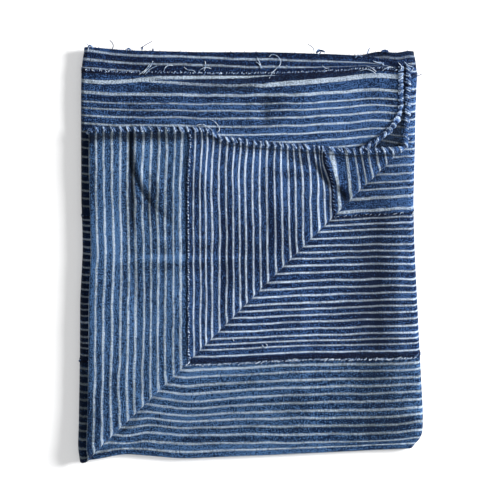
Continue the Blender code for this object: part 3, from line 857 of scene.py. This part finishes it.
# sewing over the seams: t of the seam, from s, to s, pitch, reach, slant, radius, how far to one side
seamRuns = dict(
    blue=(
        (22.0, 22.0, leftEnd, 3.6, 0.9, 0.8, 0.34, -2.2),
        (22.0, 30.0, leftEnd, 5.1, 0.7, -0.5, 0.30, -3.2),
        (512.0, 8.0, leftStart, 2.9, 0.8, 0.7, 0.34, 0.8),
        (655.0, 22.0, leftStart, 3.1, 0.8, 0.8, 0.30, 0.4),
        (165.0, 25.0, clothEnd - 6, 7.0, 1.3, 0.9, 0.34, 0.0),
        (308.0, 22.0, clothEnd - 6, 7.0, 1.3, 0.9, 0.34, 0.0),
        (22.0, leftEnd, clothEnd - 6, 7.0, 1.3, 0.9, 0.34, 0.0),
        (798.0, 18.0, leftStart, 3.2, 1.1, 0.9, 0.34, 0.0),
        (798.0, leftStart, clothEnd - 6, 6.0, 1.1, 0.9, 0.34, 0.0),
        (512.0, rightStart, clothEnd - 6, 5.2, 1.5, 1.2, 0.34, 0.0),
        (512.0, leftStart + 1.5, rightStart, 3.0, 1.1, -0.8, 0.36, -2.0),
        (655.0, leftStart, rightStart, 5.3, 0.7, 0.5, 0.22, 0.0),
    ),
    pale=(
        (22.0, 24.0, leftEnd, 2.7, 0.55, 0.45, 0.36, -2.6),
        (512.0, 9.0, leftStart, 2.4, 0.65, 0.5, 0.50, 1.3),
        (512.0, leftStart, rightStart, 2.3, 0.9, 1.3, 0.46, -2.1),
        (655.0, leftStart, rightStart, 7.7, 0.6, 1.6, 0.22, 1.0),
        (655.0, rightStart, clothEnd - 6, 5.2, 1.5, 1.2, 0.30, 0.0),
    ),
)


def seamTubes(seam, first, last, pitch, reach, slant, radius, aside):
    # each stitch is a short arc over the joined edges, slanting along them, no two alike
    begin = np.arange(first, last, pitch)[:, None]
    loose = np.random.default_rng(int(seam * 7 + first + pitch * 10)).normal(0.0, 1.0, (5, len(begin), 1))
    across = np.linspace(-1.0, 1.0, 7)[None, :]
    t = seam + aside + across * reach * (1.0 + 0.3 * loose[0]) + 0.3 * loose[1]
    s = begin + across * slant * (1.0 + 0.35 * loose[2]) + 0.22 * pitch * loose[3]
    ridge = clothSizes["seamRidge"] * np.exp(-(((t - seam) / clothSizes["ridgeReach"]) ** 2))
    proud = ridge * smooth(rightEnd + 20.0, rightStart, s)
    size = radius * np.clip(1.0 + 0.3 * loose[4], 0.45, 1.6)
    rise = size * (0.9 - 1.5 * across ** 4) * smooth(rightEnd + 30.0, rightStart, s)
    path = np.stack([s, t, clothSizes["halfThick"] + proud + rise], axis=-1)
    side = everywhere(np.array((reach, -slant, 0.0)) / np.hypot(reach, slant), path)
    return tubeMesh(path, side, everywhere((0, 0, 1), path), size * (0.5 + 0.5 * (1 - across ** 4)), 6)


for dye, runs in seamRuns.items():
    addTubes("seamStitches_" + dye, [seamTubes(*run) for run in runs], threads[dye])


def hemTubes(places, radius, leanBy, seed):
    # each turn of thread is a slanting ring round the hem's roll, drawn on the spread cloth
    h = hemSizes
    turn = np.linspace(0.12, 0.88, 15)[None, :] * 2 * np.pi
    place = places[(places > h["firstIn"]) & (places < clothWidth - h["firstIn"])][:, None]
    loose = np.random.default_rng(seed).normal(0.0, 1.0, (3, len(place), 1))
    t = place + 0.35 * loose[0] + (leanBy + 0.5 * loose[1]) * h["slant"] * np.cos(turn)
    t = np.clip(t, h["leastIn"], clothWidth - h["leastIn"])
    thick = radius * np.clip(1.0 + 0.28 * loose[2], 0.5, 1.6)
    size = h["radius"] * (1.0 - h["groove"] * grooveAt(t)) + thick * 0.3
    outward = np.stack(np.broadcast_arrays(np.cos(turn), 0.0 * t, np.sin(turn)), axis=-1)
    s = nearHem(t) + h["centre"] + (h["centre"] - 0.2) * np.cos(turn)
    path = np.stack([s, t, size * np.sin(turn)], axis=-1)
    return tubeMesh(path, outward, everywhere((0, 1, 0), path), thick, 6)


bumpPlaces = (stitchPlaces[1:] + stitchPlaces[:-1]) / 2
addTubes("hemThread_navy", [hemTubes(stitchPlaces, hemSizes["navyRadius"], 1.2, 5)], threads["navy"])
addTubes("hemThread_blue", [hemTubes(bumpPlaces + 1.5, hemSizes["blueRadius"], 1.4, 3)], threads["blue"])
addTubes("hemThread_pale", [hemTubes(bumpPlaces - 0.4, hemSizes["paleRadius"], 1.1, 7)], threads["hem"])


# worn fibres that stand out of the selvedges: edge's t, outward sign, from s, to s, how many, length, radius
frays = dict(
    seed=11,
    navy=((0.0, -1, 18.0, 345.0, 260, 1.1, 0.17), (clothWidth, 1, 560.0, 690.0, 110, 1.3, 0.17),
          (0.0, -1, 18.0, 345.0, 46, 0.55, 0.55), (clothWidth, 1, 560.0, 680.0, 22, 0.7, 0.6)),
    blue=((0.0, -1, 18.0, 345.0, 90, 1.2, 0.13), (clothWidth, 1, 540.0, 690.0, 60, 1.6, 0.13)),
)


def frayTubes(edge, outward, first, last, count, length, radius, rng):
    # fibres leaning out of an edge: straight out plus a bend along it and a slight droop or rise
    s = rng.uniform(first, last, (count, 1))
    reach = length * rng.gamma(2.5, 0.4, (count, 1))
    lean = rng.normal(0.0, 1.0, (count, 1)) * reach
    part = np.linspace(0.0, 1.0, 5)[None, :]
    path = np.stack([
        s + lean * part ** 1.5,
        edge + outward * (reach * part - 0.5),
        rng.normal(0.0, 0.35, (count, 1)) + rng.normal(0.0, 0.8, (count, 1)) * part ** 2], axis=-1)
    size = radius * (1.0 - 0.6 * part)
    return tubeMesh(path, everywhere((1, 0, 0), path), everywhere((0, 0, 1), path), size, 4)


rng = np.random.default_rng(frays["seed"])
for dye in ("navy", "blue"):
    addTubes("selvedgeFibres_" + dye, [frayTubes(*row, rng) for row in frays[dye]], threads[dye])


# height of the cloth's upper surface on a square grid, for what lies on it
gridStep = 1.5
gridHalf = 150       # cells from its middle to each side


def cellsAt(points):
    # rows and columns of the cells that hold the points
    cells = np.clip((points / gridStep).round().astype(int) + gridHalf, 0, 2 * gridHalf)
    return cells[:, 0], cells[:, 1]


def heightGrid():
    # highest point in each cell, spread to the cells beside it
    points = np.concatenate(surfacePoints)
    grid = np.full((2 * gridHalf + 1, 2 * gridHalf + 1), -1.0)
    np.maximum.at(grid, cellsAt(points[:, :2]), points[:, 2])
    spread = [np.roll(grid, (i, j), (0, 1)) for i in (-1, 0, 1) for j in (-1, 0, 1)]
    return np.max(spread, axis=0)


grid = heightGrid()
looseZ = 20.0        # height of a strand that nowhere lies on the cloth
sinkShare = 0.12     # how far a strand sinks for each mm that it runs past the edge


def layOn(points, lift):
    # z of a path over the cloth; past its edge the path runs on from where it left, sinking a little
    z = grid[cellsAt(points)]
    over = z > 0
    if not over.any():
        over[-1], z[-1] = True, looseZ
    place = np.concatenate([[0.0], np.cumsum(np.hypot(*np.diff(points, axis=0).T))])
    level = np.interp(place, place[over], z[over])
    gap = np.min(np.abs(place[:, None] - place[over][None, :]), axis=1)
    return level - sinkShare * gap + lift


def curveThrough(points, rounds=3):
    # corners cut again and again until the line is smooth
    line = np.array(points, float)
    for _ in range(rounds):
        cut = np.stack([line[:-1] * 0.75 + line[1:] * 0.25, line[:-1] * 0.25 + line[1:] * 0.75], axis=1)
        line = np.concatenate([line[:1], cut.reshape(-1, line.shape[1]), line[-1:]])
    return line


pictureMiddle = 250.0      # of the picture that strands are placed by, whose pixels are a mm wide


def strandTube(points, radius, lift):
    # one loose strand laid along a line given in the plan, thin at its ends
    places = [(px - pictureMiddle - f.centreX, pictureMiddle - py - f.centreY) for px, py in points]
    line = curveThrough(places)
    part = np.linspace(0.0, 1.0, len(line))
    z = layOn(line, radius * 0.6 + lift * np.sin(np.pi * part) ** 0.7)
    path = np.concatenate([line, z[:, None]], axis=1)
    ahead = np.gradient(line, axis=0)
    side = np.stack([-ahead[:, 1], ahead[:, 0], np.zeros(len(line))], axis=-1)
    side /= np.maximum(np.linalg.norm(side, axis=1, keepdims=True), 1e-6)
    size = radius * (1.0 - 0.5 * np.abs(2 * part - 1) ** 3)
    return tubeMesh(path[None], side[None], everywhere((0, 0, -1), path)[None], size[None], 6)


# loose strands by dye: radius, lift, then the line's places in the picture's plan
strands = dict(
    blue=(
        (0.55, 0.3, ((370, 47.3), (368.5, 50), (367.5, 54))),
        (0.90, 0.4, ((131, 51), (129, 48), (126, 51))),
        (0.60, 0.4, ((318, 55), (322, 51), (318, 49), (316, 53))),
        (0.60, 0.4, ((355, 58), (358, 55), (362, 57))),
        (0.60, 0.4, ((375, 61.5), (379, 64), (384, 62.5), (382, 65.5))),
        (0.80, 0.3, ((88, 48), (90, 45), (93, 48))),
    ),
    pale=(
        (0.42, 0.8, ((153, 61), (151, 66), (147, 70), (143, 74))),
        (0.36, 0.8, ((150, 64), (145, 71), (139, 74.5))),
        (0.34, 1.0, ((157, 66), (150, 69), (145, 75))),
        (0.40, 0.9, ((164, 71), (165, 67.5), (169, 65), (173, 65.5))),
        (0.36, 0.7, ((184, 67), (188, 70.5), (193, 70), (196, 73))),
        (0.40, 0.9, ((205, 61), (206, 66), (204, 71))),
        (0.38, 0.9, ((200, 70), (205, 67), (211, 68.5))),
        (0.36, 0.8, ((257, 57), (259, 61), (262, 68))),
        (0.46, 0.9, ((256, 62), (259.5, 64), (261, 68.5))),
        (0.36, 1.4, ((269, 57), (272, 54), (277, 55.5), (281, 60), (280.5, 65), (276, 69), (272, 73),
                     (269, 79))),
        (0.34, 0.6, ((286, 65), (289, 68), (293, 67))),
        (0.30, 0.8, ((322, 65), (325, 68.5), (329, 68))),
        (0.40, 0.9, ((373, 61), (377, 63), (381, 62), (384, 66))),
        (0.36, 0.8, ((360, 71), (366, 69), (372, 71), (377, 75))),
        (0.34, 0.8, ((366, 66), (371, 67.5), (376, 72))),
        (0.38, 0.8, ((382, 71), (385, 69), (389, 67), (393, 68))),
        (0.34, 1.0, ((209, 119), (214, 121), (218, 125), (220, 130), (217, 133))),
        (0.32, 0.8, ((196, 126), (202, 124), (208, 127), (213, 131))),
        (0.40, 0.6, ((404, 62), (408, 66), (414, 67), (412, 71))),
        (0.38, 0.6, ((398, 63), (402, 67), (400, 71))),
        (0.34, 0.5, ((88, 52), (89, 46), (86.5, 43.5))),
        (0.42, 0.6, ((262, 345), (265, 349), (268, 346), (265, 343))),
        (0.32, 0.5, ((232, 338), (234, 341))),
    ),
    navy=(
        (0.90, 0.2, ((142, 50), (142.5, 46.5))),
        (0.80, 0.2, ((153, 51), (153, 48.5))),
        (1.00, 0.4, ((316, 53), (320, 50), (325, 52))),
        (1.50, 0.3, ((381.5, 51.6), (385, 50.4), (388.5, 51.8))),
        (0.46, 0.3, ((109.5, 40), (113, 43.5), (113.5, 47), (111.5, 51))),
        (0.40, 0.2, ((152.5, 41), (147, 44), (140, 48.5))),
        (0.40, 0.3, ((307, 43.5), (311, 46), (314, 48.5), (314, 54))),
        (0.40, 0.2, ((423, 73), (420, 74.7), (415, 77))),
        (0.55, 0.3, ((129.5, 324), (131.5, 325))),
        (0.55, 0.3, ((118.8, 361.5), (120, 362.5))),
        (0.60, 0.3, ((160, 102), (165, 103), (169, 102.5))),
        (0.60, 0.3, ((112, 59), (118, 59.4))),
        (0.60, 0.3, ((257, 101), (262, 103), (266, 101))),
    ),
)
for dye, rows in strands.items():
    tubes = [strandTube(line, radius, lift) for radius, lift, line in rows]
    addTubes("looseStrands_" + dye, tubes, threads[dye], flat=False)


# stage: pale floor, soft light from the right, camera straight above
stage = dict(
    floorColour=(0.88, 0.88, 0.88), floorGlow=0.30,      # light table: a faint glow softens the shadow
    floorHalf=3000.0, floorDrop=0.3,                     # mm
    keyPower=150.0, keySize=1.0, keyFrom=(2.34, 0.60, 1.50),
    fillPower=9.0, fillSize=2.2, fillFrom=(0.0, 0.4, 2.4), sky=0.28,
    cameraHeight=3.0, aimHeight=0.014, fieldWidth=0.5, sensor=36.0,
)


def addLight(name, power, size, place):
    lamp = bpy.data.lights.new(name, "AREA")
    lamp.energy = power
    lamp.size = size
    holder = bpy.data.objects.new(name, lamp)
    holder.location = place
    holder.rotation_euler = (-Vector(place)).to_track_quat("-Z", "Y").to_euler()
    bpy.context.scene.collection.objects.link(holder)


floorPaint = Paint("floor_pale")
floorPaint.surface((*stage["floorColour"], 1.0), 0.9)
floorPaint.shader.inputs["Emission Color"].default_value = (1.0, 1.0, 1.0, 1.0)
floorPaint.shader.inputs["Emission Strength"].default_value = stage["floorGlow"]
corners = np.array(((-1, -1, 0), (1, -1, 0), (1, 1, 0), (-1, 1, 0)), float)
corners = corners * stage["floorHalf"] - (0, 0, stage["floorDrop"])
floor = addMesh("floor", corners, [(0, 1, 2, 3)], floorPaint.material)
addLight("keyLight", stage["keyPower"], stage["keySize"], stage["keyFrom"])
addLight("fillLight", stage["fillPower"], stage["fillSize"], stage["fillFrom"])
world = bpy.data.worlds.new("sky")
world.use_nodes = True
world.node_tree.nodes["Background"].inputs["Color"].default_value = (0.97, 0.98, 1.0, 1.0)
world.node_tree.nodes["Background"].inputs["Strength"].default_value = stage["sky"]
bpy.context.scene.world = world
bpy.context.scene.view_settings.view_transform = "Standard"

camera = bpy.data.objects.new("camera", bpy.data.cameras.new("camera"))
camera.location = (-f.centreX * mm, -f.centreY * mm, stage["cameraHeight"])
camera.data.sensor_width = stage["sensor"]
camera.data.lens = stage["sensor"] * (stage["cameraHeight"] - stage["aimHeight"]) / stage["fieldWidth"]
bpy.context.scene.collection.objects.link(camera)
bpy.context.scene.camera = camera
print("stage: floor, two lights, sky and camera")
